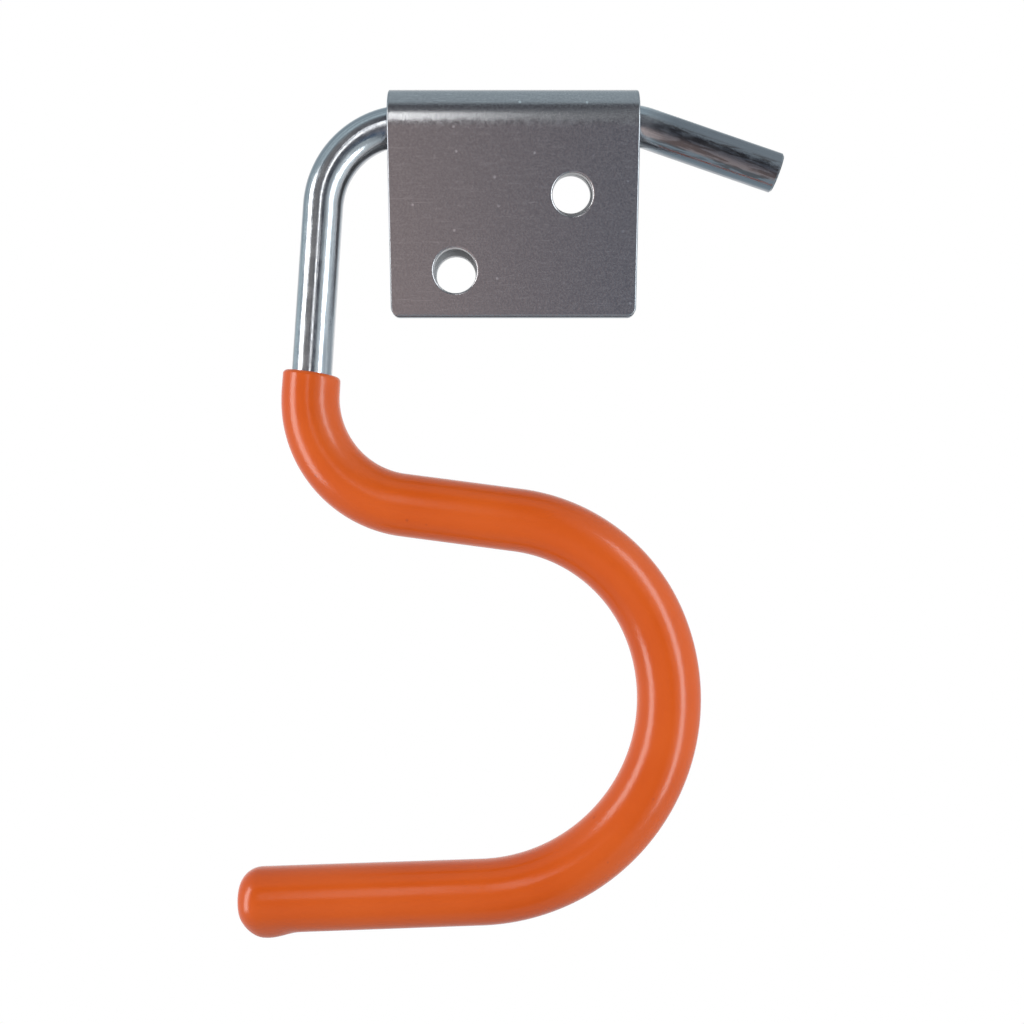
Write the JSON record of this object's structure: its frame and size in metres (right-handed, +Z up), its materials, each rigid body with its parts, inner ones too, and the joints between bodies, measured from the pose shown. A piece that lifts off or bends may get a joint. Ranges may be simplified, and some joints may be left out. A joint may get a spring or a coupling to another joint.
{
  "type": "swing-out utility hook",
  "caption": "Wall hook bent from round zinc-plated rod with a vinyl-dipped U, swinging in the eye of a folded steel plate that screws to a wall or stud.",
  "frame": {"origin": "middle of the two screw holes of the rear leaf, on the wall plane", "axes": "+Y into the wall, +Z up along the pivot, +X from the screw holes towards the pivot; stored folded flat to the wall, as pictured"},
  "size_m": [0.1689, 0.0136, 0.1087],
  "materials": {
    "plate_zinc": "dull zinc-plated sheet steel",
    "rod_zinc": "bright zinc-plated steel rod with drawing marks",
    "orange_vinyl": "semi-gloss dipped orange vinyl"
  },
  "bodies": {
    "plate": {"mounting_plate": "plate_zinc"},
    "hook": {"hook_rod": "rod_zinc", "vinyl_coat": "orange_vinyl"}
  },
  "joints": [
    {"name": "hook_swing", "type": "hinge", "parent": "plate", "child": "hook", "pos_m": [0.0208, -0.0068, 0], "axis": [0, 0, 1], "range_deg": [0, 180]}
  ]
}
